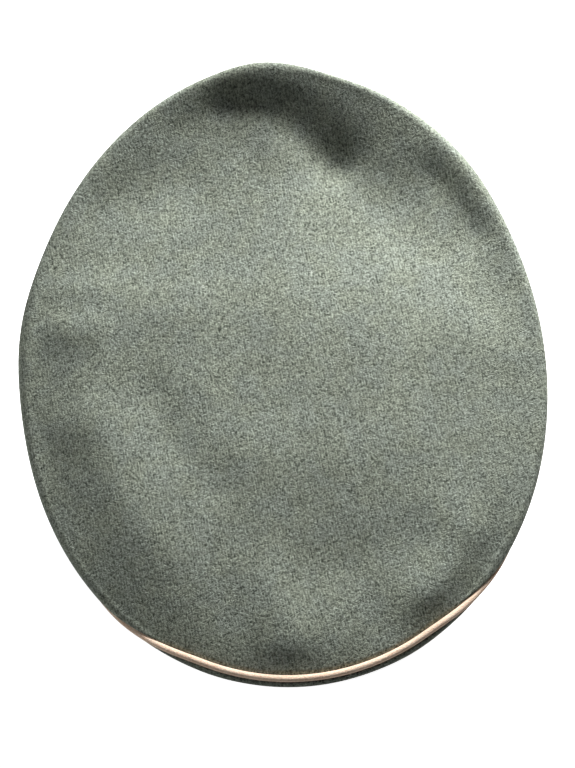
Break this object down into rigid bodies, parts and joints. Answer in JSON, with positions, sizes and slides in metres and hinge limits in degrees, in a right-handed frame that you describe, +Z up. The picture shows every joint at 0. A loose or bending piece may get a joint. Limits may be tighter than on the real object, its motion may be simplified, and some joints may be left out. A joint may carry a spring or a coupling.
{
  "type": "military peaked cap",
  "caption": "Peaked cap with a wide wool crown on a spring wire ring, piped seams, a stiff band, a bound black visor and a leather chin strap on side buttons.",
  "frame": {"origin": "on the table, under the middle of the cap's box, with the cap leaning back on the visor's edge and the back of its hem", "axes": "+Z up, -Y the way the visor points, +X the wearer's left"},
  "size_m": [0.2494, 0.2994, 0.1536],
  "materials": {
    "crown_wool": "felted field-grey wool twill",
    "piping_wool": "salmon wool over cord",
    "band_wool": "dark bottle-green facecloth",
    "spring_steel": "drawn spring steel",
    "sleeve_brass": "dull",
    "casing_tape": "cotton tape",
    "buckram": "glued linen",
    "fibreboard": "lacquered fibreboard",
    "hem_leather": "black grained",
    "sweatband_leather": "tan, perforated",
    "lining_silk": "gold-tan satin",
    "celluloid": "clear",
    "visor_black": "black lacquer",
    "visor_lining": "grained oilcloth",
    "strap_leather": "black polished",
    "slider_metal": "black paint, worn at the edges",
    "button_metal": "pebbled, field grey to bare metal"
  },
  "bodies": {
    "cap": {"crown_top_panel": "crown_wool", "crown_front_panel": "crown_wool", "crown_left_panel": "crown_wool", "crown_rear_panel": "crown_wool", "crown_right_panel": "crown_wool", "crown_piping": "piping_wool", "crown_wire": "spring_steel", "wire_joint_sleeve": "sleeve_brass", "wire_casing": "casing_tape", "front_buckram": "buckram", "front_stay": "spring_steel", "band_cover": "band_wool", "band_upper_piping": "piping_wool", "band_lower_piping": "piping_wool", "band_stiffener": "fibreboard", "hem_binding": "hem_leather", "sweatband": "sweatband_leather", "sweatband_reed": "sweatband_leather", "sweatband_rear_tab": "sweatband_leather", "forehead_pad": "casing_tape", "lining_side": "lining_silk", "lining_top": "lining_silk", "sweat_shield": "celluloid", "visor_shell": "visor_black", "visor_underside": "visor_lining", "visor_edge_binding": "visor_black", "side_button_left": "button_metal", "side_button_right": "button_metal", "button_washer_left": "sleeve_brass", "button_washer_right": "sleeve_brass"},
    "chin_strap": {"chin_strap_left": "strap_leather", "chin_strap_right": "strap_leather"},
    "slider_left": {"strap_slider_left": "slider_metal"},
    "slider_right": {"strap_slider_right": "slider_metal"}
  },
  "joints": [
    {"name": "strap_swing", "type": "hinge", "parent": "cap", "child": "chin_strap", "pos_m": [0, -0.02112, 0.04056], "axis": [-1, 0, 0], "range_deg": [0, 18]},
    {"name": "slider_left_slide", "type": "hinge", "parent": "chin_strap", "child": "slider_left", "pos_m": [0, -0.02407, 0.04045], "axis": [0, 0.0349, -0.9994], "range_deg": [-3, 24]},
    {"name": "slider_right_slide", "type": "hinge", "parent": "chin_strap", "child": "slider_right", "pos_m": [0, -0.02407, 0.04045], "axis": [0, -0.0349, 0.9994], "range_deg": [-3, 24]}
  ]
}
